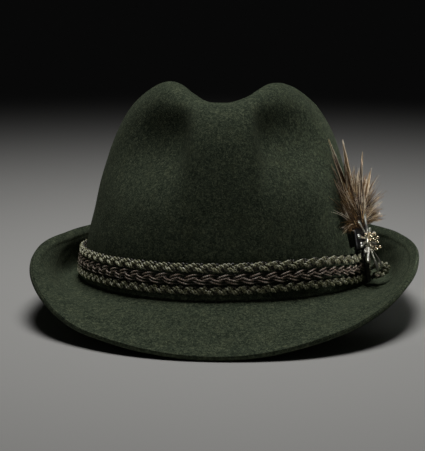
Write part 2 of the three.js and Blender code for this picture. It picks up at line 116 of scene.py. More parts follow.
# Turned edge of the brim: how far in it is stitched down, how thick it is, how wide the soft step
# is there, and the rows of vertices near it by their way from the edge
WELT = 5.5
WELT_STEP = 0.6
WELT_SOFT = 2.6
WELT_ROWS = [7.5, 6.8, 6.3, 6, 5.8, 5.65, 5.5, 5.35, 5.2, 4.9, 4.4, 3.8, 3.1, 2.4, 1.7, 1.1, 0.6,
             0.25, 0]

# Three cords round the crown, as in the source, with the plait of each: stitch length, yarns in a
# strand, radius of a yarn, how the yarns spread sideways and in depth, and the length in which they
# turn once (0 for flat)
GAP = 0.3
CORDS = {
    "lower_cord": {"height": 4.2, "tall": 5.2, "thick": 3.6, "stitch": 7, "yarns": 2,
                   "yarn": 0.5, "spread": (0.8, 0.42), "twist": 4.2},
    "middle_cord": {"height": 10.1, "tall": 6, "thick": 3.8, "stitch": 8.9, "yarns": 2,
                    "yarn": 0.44, "spread": (0.8, 0.2), "twist": 0},
    "upper_cord": {"height": 16.2, "tall": 5.6, "thick": 3.6, "stitch": 8.9, "yarns": 2,
                   "yarn": 0.5, "spread": (0.78, 0.45), "twist": 4.6},
}
# How much higher the band sits towards the front, as in the source
BAND_RISE = {
    "azimuth": [-180, -100, -75, -45, 0, 28, 45, 66, 180],
    "rise": [0, 0, 1.2, 1.8, 2.4, 3, 2.6, 0, 0],
}
CORD_SAMPLES = 2001  # of a cord's line, to measure it before it is cut into even steps
CORD_STEP = 0.66
YARN_SIDES = 6
PLY_TURN = 2.2  # length of yarn in which its two plies turn once
# Unevenness of the yarns: the length of one swell, and how far it goes sideways and in depth
SWELL = 37
SWELL_SIZE = (0.1, 0.05)

# Trim on the wearer's left, in the frame of the wall at this azimuth and height. Of the keeper,
# near is how far its inner face is from the wall and lip how far its top runs back to it; of the
# sleeve, an oval cup, taper is the share of its size that it has at its foot
TRIM = (70, 19)
KEEPER = {"wide": 8, "leather": 1.4, "near": 4.4, "top": 1.2, "bottom": -18.2, "lip": 3.4,
          "bend": 1.1}
SLEEVE = {"half_wide": 14.5, "half_deep": 3, "foot": 2.9, "rim": 14.9, "out": 3.6, "wall": 0.8,
          "floor": 2, "taper": 0.88, "crease": 0.22, "creases": 7}
# Loops of cord: up and out of the first and last foot, reach to the back, bulge out, half size, and
# the plait as for the cords; they start beside the keeper at LOOP_START
LOOPS = {
    "green_end_loop": {"first": (-10.3, 7.6), "last": (-15.8, 7.6), "reach": 12.6, "bulge": 5,
                       "half": 2.3, "stitch": 5, "yarns": 4, "yarn": 0.36, "spread": (0.7, 0.5),
                       "twist": 5},
    "brown_end_loop": {"first": (-16.4, 5.6), "last": (-16.4, 9), "reach": 7, "bulge": 0,
                       "half": 1.4, "stitch": 4.6, "yarns": 3, "yarn": 0.32, "spread": (0.42, 0.3),
                       "twist": 5},
}
LOOP_START = 4.3
LOOP_STEPS = 70

# Flower pin: place on the trim, radius and thickness of the plate, radius of a bead and of a stem
PIN = {"height": 6.5, "out": 8.2, "plate": 5, "thick": 1.6, "bead": 1.1, "stem": 0.35}
# Petals: angle in degrees from straight up towards the front, length, half width, how narrow the
# neck is against the tip, and how far out the tip is
PETALS = [
    (-12, 16, 1.5, 0.85, -1.5),
    (36, 15.8, 1.2, 0.55, -2.2),
    (72, 14, 1.4, 0.45, -2.6),
    (100, 11.5, 1.9, 0.5, -2.4),
    (140, 9, 1.3, 0.5, -1.8),
    (163, 13.8, 1.7, 0.9, -1.4),
    (172, 19, 1.3, 0.55, 3.7),
    (176, 17, 0.85, 0.5, 6),
    (244, 10, 1.3, 0.6, 1.5),
    (284, 11, 1.4, 0.6, 1.5),
    (322, 8, 1.3, 0.5, 0.5),
]
# Beads: along the wall, up it and out from the plate
BEADS = [
    (-1, 3.3, 1.8), (0.5, 2.8, 4), (-3.2, -0.2, 1.6), (-2.4, -0.1, 3.6), (0, -1.9, 5.2),
    (-2.4, -4.6, 2.6), (-1, -5.8, 4.1), (1.4, -5.2, 6), (-5.6, 3.6, 0.2), (3, 2.4, 2.6),
    (4, -1.6, 3), (3.2, -4.8, 3.2), (1, 0.4, 5.4), (-3.6, 2, 2.4),
]

# Long locks of the plume, near those of the source: tip along the wall, up it and out from it, foot
# along the wall, half width, and how pale the lock is
LOCKS = [
    (-6, 67, 2, -3, 2.6, 1.0),
    (-8, 69, -6, -6, 1.9, 0.3),
    (-9, 61, -5, -7, 1.5, 0.2),
    (-19, 54, -3, -7, 1.8, 0.3),
    (-22, 46, -2, -8, 2.2, 0.35),
    (8, 58, 9.5, 3, 1.5, 0.3),
    (14, 47, 11.8, 5, 2.4, 1.0),
    (-11, 56, 2.5, -5, 2.8, 0.45),
    (1, 47, 7, 0, 3.4, 0.5),
    (-20, 42, 0.5, -7, 3.4, 0.4),
    (19, 38, 7, 7, 3.4, 0.35),
    (-25, 33, 1, -8, 3.6, 0.4),
    (14, 30, 9, 5, 3.4, 0.5),
    (-9, 36, 6, -3, 4.4, 0.4),
    (5, 36, 8, 1, 4, 0.4),
]
LOCK_LAG = 0.3  # share of the way out that a lock has gone at half its length
HAIRS_A_MM = 30  # hairs of a lock for each millimetre of its half width
LOCK_HAIR = 0.18  # radius of a lock's hair
# Tufts round the locks, fluff, middle and wisps: how many, hairs in each, lean in radians to the
# back, length, height of the foot over the sleeve's rim, bend, tone at the foot and what it gains
# to the tip, and radius of a hair. Real hairs are less than half as thick; these are as coarse as
# they need to be to show.
TUFTS = [
    (280, 8, (-1.4, 1.25), (11, 24), (-2, 1), 0.3, (0.13, 0.33), 0.15),
    (110, 10, (-0.85, 0.7), (24, 38), (-1, 2), 0.2, (0.13, 0.35), 0.15),
    (22, 2, (-1.15, 1.4), (24, 36), (0, 6), 0.1, (0.85, 0.15), 0.14),
]
HAIR_STEPS = 7
HAIR_SIDES = 3
HAIR_CLEAR = 0.4
# What a hair of a lock, a whole tuft and a hair of a tuft add to their tone, with each one's chance
LOCK_STREAKS = ([-0.3, -0.08, 0.6], [0.42, 0.4, 0.18])
TUFT_TONES = ([-0.2, 0, 0.22], [0.35, 0.4, 0.25])
TUFT_STREAKS = ([-0.18, -0.05, 0.5], [0.4, 0.42, 0.18])
# How fast the crown's wall falls away from the trim's plane, by the square of the way to the front
# and up
WALL_FALL = (0.0045, 0.0024)

# Lamps: place, target, width, height, watts and spread in degrees. Overhead is the soft light of
# the studio, and side a weak strip that puts the highlights on the pin.
LAMPS = {
    "overhead": ((0.04, 0.08, 1.2), (0, 0, 0.05), 0.5, 0.5, 1.74, 70),
    "side": ((0.7, -0.6, 0.12), (0.104, -0.022, 0.054), 0.06, 0.12, 0.02, 7.5),
}
WORLD_LIGHT = 0.008
FLOOR_REACH = 6.0

# The photograph's view: its size in pixels, the point that the camera aims at and where that falls
# in the picture
FRAME_SIZE = (425, 451)
AIM = (-2.5 * MM, 10.2 * MM, 60 * MM)
AIM_PIXEL = (224.5, 196.0)
VIEW_AZIMUTH = 2.5
VIEW_ELEVATION = 10.6
VIEW_DISTANCE = 0.9
METRES_A_PIXEL = 0.606 * MM
SENSOR = 36


def linear(code):
    """Linear colour from an sRGB hex code: v / 12.92 below 0.04045, else (v + 0.055) / 1.055 to the
    power of 2.4."""
    values = np.array([int(code[i : i + 2], 16) for i in (1, 3, 5)]) / 255
    curve = np.where(values <= 0.04045, values / 12.92, ((values + 0.055) / 1.055) ** 2.4)
    return (*(float(v) for v in curve), 1.0)


def monotone(table, key, column, first=None, last=None):
    """Monotone cubic through one column: slopes are harmonic means of the neighbouring rises,
    weighted by their steps, and zero where the column turns. Returns a function of arrays."""
    x = np.array(table[key], float)
    y = np.array(table[column], float)
    step = np.diff(x)
    rise = np.diff(y) / step
    before = 2 * step[1:] + step[:-1]
    after = step[1:] + 2 * step[:-1]
    same = rise[:-1] * rise[1:] > 0
    safe = np.where(same, rise[:-1], 1), np.where(same, rise[1:], 1)
    inner = np.where(same, (before + after) / (before / safe[0] + after / safe[1]), 0)
    slope = np.r_[rise[0] if first is None else first, inner, rise[-1] if last is None else last]

    def at(value):
        value = np.clip(value, x[0], x[-1])
        i = np.clip(np.searchsorted(x, value, side="right") - 1, 0, len(x) - 2)
        t = (value - x[i]) / step[i]
        near = (1 + 2 * t) * (1 - t) ** 2 * y[i] + t * (1 - t) ** 2 * step[i] * slope[i]
        return near + t * t * (3 - 2 * t) * y[i + 1] + t * t * (t - 1) * step[i] * slope[i + 1]

    return at


def profile_runs():
    """Share of the way up the side profile at each section: summed lengths between sections over
    their total."""
    lengths = np.hypot(np.diff(SECTIONS["height"]), np.diff(SECTIONS["half_width"]))
    runs = np.r_[0, np.cumsum(lengths)]
    return runs / runs[-1]


CROWN = {**SECTIONS, "run": profile_runs()}
CROWN_TOP = SECTIONS["height"][-1]
FOOT_RUN = CROWN["run"][1] * FILLET / SECTIONS["height"][1]
height_at = monotone(CROWN, "run", "height", last=0)
half_width_at = monotone(CROWN, "run", "half_width")
half_length_at = monotone(CROWN, "run", "half_length")
setback_at = monotone(CROWN, "run", "setback")
crease_depth_at = monotone(CREASE, "y", "depth")
crease_width_at = monotone(CREASE, "y", "half_width")
brim_width_at, brim_root_at, brim_wall_at, brim_edge_at = (
    monotone(BRIM, "azimuth", column, 0, 0) for column in ("width", "root", "wall", "edge"))
band_rise_at = monotone(BAND_RISE, "azimuth", "rise", 0, 0)


def unit(vectors):
    """Vectors over their own lengths."""
    return vectors / np.linalg.norm(vectors, axis=-1, keepdims=True)


def smooth(value):
    """Smooth step from 0 to 1: 3 v**2 - 2 v**3."""
    value = np.clip(value, 0, 1)
    return value * value * (3 - 2 * value)


def blunt(value, power):
    """Value of -1 to 1 raised to a power below 1 with its sign kept, which squares a round
    section."""
    return np.sign(value) * np.abs(value) ** power


def wrap(angle, half):
    """Angle brought into the range from -half to half."""
    return (angle + half) % (2 * half) - half


def outward(azimuth):
    """Plan direction out of the crown: gradient of the ellipse at the brim line, made unit."""
    x = np.sin(azimuth) / SECTIONS["half_width"][0]
    y = -np.cos(azimuth) / SECTIONS["half_length"][0]
    return unit(np.stack([x, y, 0 * x], -1))


def crown_point(azimuth, share):
    """Crown wall, share 0 at its foot and 1 on top: an ellipse whose half sizes follow the
    sections, leant back by slope times level squared, pushed in by two bell-shaped pinches and
    down by a bell-shaped crease."""
    run = FOOT_RUN + share * (1 - FOOT_RUN)
    height = height_at(run)
    level = height / CROWN_TOP
    x = half_width_at(run) * np.sin(azimuth)
    y = setback_at(run) - half_length_at(run) * np.cos(azimuth)
    z = height - LEAN_SLOPE * (y - LEAN_PIVOT) * level**2
    point = np.stack([x, y, z], -1)
    for k, middle in enumerate(PINCHES["azimuth"]):
        rise = height - PINCHES["height"][k]
        along = np.abs(rise / np.where(rise > 0, PINCHES["up"][k], PINCHES["down"][k]))
        turn = wrap(azimuth - np.radians(middle), np.pi) * np.sign(middle) * PINCH_RADIUS
        ahead = np.maximum(-turn, 0) / PINCHES["front"][k]
        aside = np.maximum(turn, 0) / PINCHES["side"][k]
        fade = ahead**FRONT_POWER + aside**PINCH_POWER + along**PINCH_POWER
        point = point - outward(azimuth) * (PINCHES["depth"][k] * np.exp(-fade))[..., None]
    lid = smooth((level - CREASE_FROM) / CREASE_OVER)
    across = np.abs((point[..., 0] - CREASE_MIDDLE) / crease_width_at(point[..., 1]))
    point[..., 2] -= crease_depth_at(point[..., 1]) * np.exp(-(across**CREASE_POWER)) * lid
    return point


def brim_point(azimuth, share):
    """Upper face of the brim, share 0 at the crown's foot and 1 at the edge: a round of the
    fillet's radius, then a line whose slope goes from root to wall by a smooth step and from
    wall to edge by another, summed in steps."""
    degrees = wrap(np.degrees(azimuth), 180)
    width = brim_width_at(degrees)
    root = np.radians(brim_root_at(degrees))
    edge = np.radians(brim_edge_at(degrees))
    wall = np.radians(brim_wall_at(degrees))
    round_ = np.minimum(share / FILLET_SHARE, 1) * (np.pi / 2 + root)
    across = FILLET * (1 - np.cos(round_))
    up = -FILLET * np.sin(round_)
    way = np.maximum((share - FILLET_SHARE) / (1 - FILLET_SHARE), 0)
    for k in range(CURL_STEPS):
        here = way * (k + 0.5) / CURL_STEPS
        slope = root + (wall - root) * smooth(here / WALL_SHARE)
        slope = slope + (edge - wall) * smooth(1 - (1 - here) / FLARE_SHARE)
        across = across + np.cos(slope) * width * way / CURL_STEPS
        up = up + np.sin(slope) * width * way / CURL_STEPS
    point = crown_point(azimuth, 0 * share) + outward(azimuth) * across[..., None]
    point[..., 2] += up
    return point


def felt_point(azimuth, place):
    """Outer face of the felt: place -1 on top of the crown, 0 at its foot, 1 at the edge of the
    brim."""
    wall = crown_point(azimuth, np.maximum(-place, 0))
    flat = brim_point(azimuth, np.maximum(place, 0))
    return np.where((place < 0)[..., None], wall, flat)


def felt_normal(azimuth, place):
    """Unit normal of that face: cross product of small steps down it and around it."""
    low = np.maximum(place - SMALL, -1 + SMALL)
    high = np.minimum(place + SMALL, 1)
    around = felt_point(azimuth + SMALL, place) - felt_point(azimuth - SMALL, place)
    down = felt_point(azimuth, high) - felt_point(azimuth, low)
    return unit(np.cross(down, around))


def settle(points):
    """Hat frame in millimetres to the resting frame in metres: turned nose up by PITCH and
    lifted by LIFT."""
    turn = np.radians(PITCH)
    x, y, z = points[..., 0], points[..., 1], points[..., 2]
    ahead = y * np.cos(turn) + z * np.sin(turn)
    above = z * np.cos(turn) - y * np.sin(turn)
    return np.stack([x - MIDDLE[0], ahead - MIDDLE[1], above + LIFT], -1) * MM


def grid_faces(rows, columns, closed=False):
    """Quads of a grid of vertices, row by row, whose columns go round, and its rows too where
    closed."""
    i = np.arange(rows if closed else rows - 1)[:, None]
    j = np.arange(columns)[None, :]
    row, next_row = i * columns, (i + 1) % rows * columns
    next_j = (j + 1) % columns
    corners = [row + j, next_row + j, next_row + next_j, row + next_j]
    return np.stack(corners, -1).reshape(-1, 4)


def capped_faces(rows, columns):
    """Quads of such a grid, and the triangles that close its first and last rows from two more
    vertices after it, as quads with their last corner repeated."""
    j = np.arange(columns)
    next_j = (j + 1) % columns
    end = rows * columns
    ring = end - columns
    first = np.stack([0 * j + end, j, next_j, next_j], -1)
    last = np.stack([0 * j + end + 1, ring + next_j, ring + j, ring + j], -1)
    return np.concatenate([grid_faces(rows, columns), first, last])


def circle(sides):
    """Unit circle as a section: cosine and sine of even angles."""
    angle = 2 * np.pi * np.arange(sides) / sides
    return np.stack([np.cos(angle), np.sin(angle)], -1)


def tubes(centres, radii, section, reference, closed=False):
    """Tubes along many paths at once, centres of shape (paths, steps, 3): at each step the
    section, times the radius, in the plane across the path whose first axis is the path's way
    crossed with the reference. Ends are fans unless the paths close. Returns points, faces and
    their corners' places: mm along and turns around."""
    paths, steps = centres.shape[:2]
    sides = len(section)
    if closed:
        ahead = np.roll(centres, -1, 1) - np.roll(centres, 1, 1)
    else:
        ahead = np.gradient(centres, axis=1)
    way = unit(ahead)
    side = unit(np.cross(way, reference))
    deep = np.cross(side, way)
    ring = section[:, :1] * side[..., None, :] + section[:, 1:] * deep[..., None, :]
    points = centres[..., None, :] + np.broadcast_to(radii, (paths, steps))[..., None, None] * ring
    points = points.reshape(paths, -1, 3)
    faces = grid_faces(steps, sides, True) if closed else capped_faces(steps, sides)
    i, j = np.divmod(np.arange((steps if closed else steps - 1) * sides), sides)
    pitch = np.linalg.norm(ahead, axis=-1).mean() * (0.5 if closed else 1)
    corners = [(i, j), (i + 1, j), (i + 1, j + 1), (i, j + 1)]
    uv = np.stack([np.stack([a * pitch, b / sides], -1) for a, b in corners], 1)
    if not closed:
        points = np.concatenate([points, centres[:, :1], centres[:, -1:]], 1)
        uv = np.concatenate([uv, np.zeros((2 * sides, 4, 2))])
    each = points.shape[1]
    faces = (faces + each * np.arange(paths)[:, None, None]).reshape(-1, 4)
    return points.reshape(-1, 3), faces, np.tile(uv, (paths, 1, 1))


def joined(*meshes):
    """Several (points, faces) pairs as one, with the later faces counted on from the earlier
    points."""
    counts = np.cumsum([0] + [len(points) for points, _ in meshes])
    faces = [faces + start for (_, faces), start in zip(meshes, counts)]
    return np.concatenate([points for points, _ in meshes]), np.concatenate(faces)


def add_mesh(name, points, faces, material, attributes=None, uv=None):
    """New smooth object from points in metres and faces of four corners, of which a repeated
    last corner is dropped. attributes holds one value a vertex by name, and uv two values for
    each corner of each face."""
    mesh = bpy.data.meshes.new(name)
    triangle = faces[:, 2] == faces[:, 3]
    counts = np.where(triangle, 3, 4)
    kept = np.stack([np.ones_like(triangle)] * 3 + [~triangle], -1).reshape(-1)
    loops = faces.reshape(-1)[kept]
    starts = np.r_[0, np.cumsum(counts)[:-1]]
    mesh.vertices.add(len(points))
    mesh.vertices.foreach_set("co", np.ascontiguousarray(points, np.float32).reshape(-1))
    mesh.loops.add(len(loops))
    mesh.loops.foreach_set("vertex_index", loops.astype(np.int32))
    mesh.polygons.add(len(faces))
    mesh.polygons.foreach_set("loop_start", starts.astype(np.int32))
    mesh.polygons.foreach_set("loop_total", counts.astype(np.int32))
    mesh.polygons.foreach_set("use_smooth", np.ones(len(faces), bool))
    for key, values in (attributes or {}).items():
        layer = mesh.attributes.new(key, "FLOAT", "POINT")
        layer.data.foreach_set("value", np.ascontiguousarray(values, np.float32).reshape(-1))
    if uv is not None:
        places = np.ascontiguousarray(uv.reshape(-1, 2)[kept], np.float32)
        mesh.uv_layers.new(name="UVMap").data.foreach_set("uv", places.reshape(-1))
    mesh.update()
    mesh.validate()
    mesh.materials.append(material)
    piece = bpy.data.objects.new(name, mesh)
    bpy.context.collection.objects.link(piece)
    return piece


def place_piece(piece, node):
    """Ties a piece to the part: it rides the root body and stands for the node, whose own mesh is
    hidden."""
    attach(piece, "root")
    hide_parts(node)


def add_node(tree, kind, settings=None, inputs=None):
    """One shader node with its settings and its inputs, where an input is a value or another
    node's socket."""
    node = tree.nodes.new(kind)
    for key, value in (settings or {}).items():
        setattr(node, key, value)
    for key, value in (inputs or {}).items():
        if isinstance(value, bpy.types.NodeSocket):
            tree.links.new(value, node.inputs[key])
        else:
            node.inputs[key].default_value = value
    return node


def new_material(name, values=None):
    """Material with an empty tree but for its shader, with these values, and its output; returns
    material, tree and shader."""
    material = bpy.data.materials.new(name)
    material.use_nodes = True
    tree = material.node_tree
    tree.nodes.clear()
    shader = add_node(tree, "ShaderNodeBsdfPrincipled", None, values)
    add_node(tree, "ShaderNodeOutputMaterial", inputs={"Surface": shader.outputs[0]})
    return material, tree, shader


def ramp(tree, factor, stops):
    """Colour ramp from pairs of place and hex colour; returns its colour socket."""
    node = add_node(tree, "ShaderNodeValToRGB", inputs={"Fac": factor})
    elements = node.color_ramp.elements
    while len(elements) < len(stops):
        elements.new(0.5)
    for element, (place, code) in zip(elements, stops):
        element.position = place
        element.color = linear(code)
    return node.outputs[0]


def noise(tree, coordinates, size_mm, detail=3.0, roughness=0.55, distortion=0.0):
    """Noise whose features are about size_mm across, on object coordinates in metres; returns
    its factor."""
    inputs = {"Vector": coordinates, "Scale": 1 / (size_mm * MM), "Detail": detail,
              "Roughness": roughness, "Distortion": distortion}
    return add_node(tree, "ShaderNodeTexNoise", inputs=inputs).outputs[0]


def reckon(tree, operation, *values):
    """Math node on two or three values or sockets; returns its result."""
    inputs = dict(enumerate(values))
    return add_node(tree, "ShaderNodeMath", {"operation": operation}, inputs).outputs[0]


def blend(tree, factor, first, second, kind="MIX"):
    """Mix of two colours by a factor, as MIX or MULTIPLY; returns the colour socket."""
    settings = {"data_type": "RGBA", "blend_type": kind}
    inputs = {"Factor": factor, "A": first, "B": second}
    return add_node(tree, "ShaderNodeMix", settings, inputs).outputs["Result"]


def relief(tree, shader, height, depth_mm, strength=1.0):
    """Bump of a height of 0 to 1 that stands depth_mm high, led to the shader's normal."""
    inputs = {"Strength": strength, "Distance": depth_mm * MM, "Height": height}
    node = add_node(tree, "ShaderNodeBump", inputs=inputs)
    tree.links.new(node.outputs[0], shader.inputs["Normal"])


def wool_felt():
    """Wool felt, steamed and brushed: loden green from mixed teal, olive and dark fibres. The
    eye sees soft patches a few millimetres wide, short fibres in all directions and a slight
    bloom at grazing angles. The fibres are drawn many times as thick as real ones, which would
    be too fine to show."""
    values = {"Roughness": 0.95, "Specular IOR Level": 0.15, "Sheen Weight": 0.05,
              "Sheen Roughness": 0.45, "Sheen Tint": linear("#a5b08c")}
    material, tree, shader = new_material("wool felt, loden green", values)
    place = add_node(tree, "ShaderNodeTexCoord").outputs["Object"]
    patches = noise(tree, place, 8, 4, 0.6)
    green = ramp(tree, patches, [(0.34, "#2b3427"), (0.5, "#353e30"), (0.66, "#404735")])
    grain = noise(tree, place, 1.5, 6, 0.8, 1.2)
    flecks = ramp(tree, grain, [(0.4, "#0b110b"), (0.5, "#343d2f"), (0.59, "#747b61")])
    inputs = {"Vector": place, "Scale": 1 / (2.7 * MM), "Detail": 2.0, "Distortion": 1.2}
    ridged = {"noise_type": "RIDGED_MULTIFRACTAL"}
    fibres = add_node(tree, "ShaderNodeTexNoise", ridged, inputs).outputs[0]
    lines = ramp(tree, fibres, [(0.55, "#000000"), (0.85, "#ffffff")])
    ground = blend(tree, 0.5, green, flecks)
    pale = reckon(tree, "MULTIPLY", lines, 0.6)
    colour = blend(tree, pale, ground, linear("#7e866a"))
    tree.links.new(colour, shader.inputs["Base Color"])
    height = reckon(tree, "MULTIPLY_ADD", fibres, 0.6, noise(tree, place, 0.8, 5, 0.7))
    relief(tree, shader, height, 0.5, 0.6)
    return material


def felt_body():
    """Crown and brim: the outer face, the inner face FELT below it along the normal, and a
    rounded rim between. The last WELT of the brim is the edge turned over on itself, a smooth
    step of WELT_STEP up. Soft waves, a sum of sines in azimuth and place, make it look blocked
    by hand."""
    azimuth = np.linspace(0, 2 * np.pi, FELT_COLUMNS, endpoint=False)[None, :]
    width = brim_width_at(wrap(np.degrees(azimuth), 180))
    crown = np.linspace(-1, 0, CROWN_ROWS, endpoint=False)[1:, None] + 0 * azimuth
    fillet = np.linspace(0, FILLET_SHARE, FILLET_ROWS, endpoint=False)[:, None] + 0 * azimuth
    near = np.array(WELT_ROWS)[:, None]
    far = np.linspace(0, 1, BRIM_ROWS, endpoint=False)[:, None] * (1 - near[0] / width)
    brim = FILLET_SHARE + (1 - FILLET_SHARE) * np.concatenate([far, 1 - near / width])
    place = np.concatenate([crown, fillet, brim])
    azimuth = azimuth + 0 * place
    surface = felt_point(azimuth, place)
    normal = felt_normal(azimuth, place)
    wave = sum(size * np.sin(turns * azimuth + down * place + phase)
               for size, turns, down, phase in WAVES)
    blocked = surface + normal * wave[..., None]
    from_edge = (1 - place) / (1 - FILLET_SHARE) * width
    welt = WELT_STEP * smooth((WELT - from_edge) / WELT_SOFT + 0.5)
    outer = blocked + normal * welt[..., None]
    every_second = np.r_[np.arange(0, len(place) - 1, 2), len(place) - 1]
    inner = (blocked - normal * FELT)[every_second]
    # The last row of each face is drawn back, and three rows of the rim bulge past it
    rim_way = unit(outer[-1] - outer[-2])
    drawn_back = 0.5
    shares = np.array([0.1, 0.5, 0.9])[:, None, None]
    bulge = np.array([0.4, 0.6, 0.4])[:, None, None]
    rim = outer[-1] * (1 - shares) + inner[-1] * shares + (bulge - drawn_back) * rim_way
    outer[-1] -= drawn_back * rim_way
    inner[-1] -= drawn_back * rim_way
    top = felt_point(np.zeros(1), np.full(1, -1.0))
    rows = np.concatenate([outer, rim, inner[::-1]])
    points = settle(np.concatenate([rows.reshape(-1, 3), top, top - [0, 0, FELT]]))
    points[:, 2] = np.maximum(points[:, 2], 0)
    piece = add_mesh("hat_felt", points, capped_faces(len(rows), FELT_COLUMNS), wool_felt())
    place_piece(piece, "felt_body")


def share_at(height):
    """Share of the crown wall at each height, by halving the range in which height_at passes it
    40 times."""
    low = np.zeros_like(height)
    high = np.ones_like(height)
    for _ in range(40):
        middle = (low + high) / 2
        below = height_at(FOOT_RUN + middle * (1 - FOOT_RUN)) < height
        low, high = np.where(below, middle, low), np.where(below, high, middle)
    return low


def wall_frame(azimuth, height):
    """Origin and axes on the wall: along it to the back, up it, and out of it, the felt's
    normal."""
    azimuth, height = np.broadcast_arrays(np.asarray(azimuth, float), np.asarray(height, float))
    place = -share_at(height)
    out = felt_normal(azimuth, place)
    origin = felt_point(azimuth, place)
    above = felt_point(azimuth, place - SMALL) - origin
    up = unit(above - out * (above * out).sum(-1, keepdims=True))
    return origin, np.cross(up, out), up, out


TRIM_ORIGIN, *TRIM_AXES = wall_frame(np.radians(TRIM[0]), TRIM[1])


def on_trim(points):
    """Points along, up and out in the trim's frame, brought to the resting frame in metres."""
    return settle(TRIM_ORIGIN + points @ np.stack(TRIM_AXES))


def yarn(name, stops):
    """Twisted yarn of a furnishing cord, a little glossy: two plies that show as slanting ribs
    half of PLY_TURN apart, and fibre noise in the colour. Shade is painted into the colour:
    darker between the ribs and the deeper a yarn lies in the cord, so one on top stays pale."""
    values = {"Roughness": 0.32, "Specular IOR Level": 0.8, "Sheen Weight": 0.7,
              "Sheen Roughness": 0.35, "Sheen Tint": linear("#e8e0c4")}
    material, tree, shader = new_material(name, values)
    coordinates = add_node(tree, "ShaderNodeTexCoord")
    along = add_node(tree, "ShaderNodeSeparateXYZ", None, {0: coordinates.outputs["UV"]})
    turns = reckon(tree, "MULTIPLY_ADD", along.outputs[0], 1 / PLY_TURN, along.outputs[1])
    ribs = reckon(tree, "SINE", reckon(tree, "MULTIPLY", turns, 4 * np.pi))
    ribs = reckon(tree, "MULTIPLY_ADD", ribs, 0.5, 0.5)
    fibres = noise(tree, coordinates.outputs["Object"], 1.4, 4, 0.7)
    colour = ramp(tree, fibres, stops)
    # Painted shade: the colour is darkened in the grooves between the ply ribs
    shade = ramp(tree, ribs, [(0.0, "#8c8c8c"), (0.6, "#ffffff")])
    level = add_node(tree, "ShaderNodeAttribute", {"attribute_name": "level"}).outputs["Fac"]
    # Painted shade: a yarn is darkened the deeper it lies in the cord, down to near black at the
    # bottom between the strands, and left as it is on top
    painted_gap_shade_stops = [(0.25, "#0e0b08"), (0.45, "#55514a"), (0.62, "#e6e6e6"), (0.8, "#ffffff")]
    painted_gap_shade = ramp(tree, level, painted_gap_shade_stops)
    shaded = blend(tree, 1.0, blend(tree, 1.0, colour, shade, "MULTIPLY"), painted_gap_shade, "MULTIPLY")
    tree.links.new(shaded, shader.inputs["Base Color"])
    fine = noise(tree, coordinates.outputs["Object"], 0.35, 3, 0.6)
    relief(tree, shader, reckon(tree, "MULTIPLY_ADD", fine, 0.5, ribs), 0.12)
    return material


def plait(centre, up, out, look, swing, lift, closed):
    """Flat plait of three strands along a path: a strand swings sideways by a sine and in and
    out by the sine of twice its angle, a third of a turn from the next. Its yarns turn round its
    middle, or lie flat side by side. Returns a mesh as tubes() does, and how far out each
    vertex's yarn lies, from 0 to 1."""
    steps = len(centre)
    ahead = np.linalg.norm(np.roll(centre, -1, 0) - centre, axis=-1)
    length = ahead.sum() if closed else ahead[:-1].sum()
    share = np.arange(steps) / (steps if closed else steps - 1)
    turns = length / (3 * look["stitch"])
    twists = length / look["twist"] if look["twist"] else 0
    if closed:
        turns, twists = round(turns), round(twists)
    strand = 2 * np.pi * (turns * share[None, None, :] + np.arange(3)[:, None, None] / 3)
    each = np.arange(look["yarns"])[None, :, None]
    if look["twist"]:
        phase = 2 * np.pi * each / look["yarns"]
    else:
        phase = np.pi * (1 - each / (look["yarns"] - 1))
    turn = phase + 2 * np.pi * twists * share[None, None, :] + strand[:, :, :1]
    turn = turn if look["twist"] else turn - strand[:, :, :1]
    swell = rng.uniform(0, 2 * np.pi, (2, 3, look["yarns"], 1))
    swell = swell + 2 * np.pi * round(length / SWELL) * share
    wide, deep = look["spread"]
    sideways = swing * np.sin(strand) + wide * np.cos(turn) + SWELL_SIZE[0] * np.sin(swell[0])
    depth = lift * np.sin(2 * strand) + deep * np.sin(turn) + SWELL_SIZE[1] * np.sin(swell[1])
    paths = centre + sideways[..., None] * up + depth[..., None] * out
    paths = paths.reshape(-1, steps, 3)
    reference = np.broadcast_to(out, paths.shape)
    points, faces, uv = tubes(paths, look["yarn"], circle(YARN_SIDES), reference, closed)
    # How far out each yarn lies; the yarn material uses it to paint shade on the deeper ones
    level = np.clip(0.5 + 0.5 * depth.reshape(-1, steps) / (lift + deep), 0, 1)
    level = np.repeat(level, YARN_SIDES, axis=1)
    if not closed:
        level = np.concatenate([level, level[:, :1], level[:, -1:]], 1)
    return points, faces, uv, level.reshape(-1)


def cord(name, look, material, slot):
    """One cord of the band: its path runs on the wall at the cord's height, sampled by equal
    lengths, GAP and half its thickness out; swing and lift fill the cord's size less the
    strand's own."""
    def frame_at(azimuth):
        return wall_frame(azimuth, look["height"] + band_rise_at(wrap(np.degrees(azimuth), 180)))

    guess = np.linspace(0, 2 * np.pi, CORD_SAMPLES) + np.radians(TRIM[0])
    line = frame_at(guess)[0]
    run = np.r_[0, np.cumsum(np.linalg.norm(np.diff(line, axis=0), axis=-1))]
    steps = int(run[-1] / CORD_STEP)
    origin, _, up, out = frame_at(np.interp(np.arange(steps) / steps * run[-1], run, guess))
    centre = origin + (GAP + look["thick"] / 2) * out
    swing = look["tall"] / 2 - look["spread"][0] - look["yarn"]
    lift = look["thick"] / 2 - look["spread"][1] - look["yarn"]
    points, faces, uv, level = plait(centre, up, out, look, swing, lift, True)
    piece = add_mesh(name + "_plait", settle(points), faces, material, {"level": level}, uv)
    place_piece(piece, name)


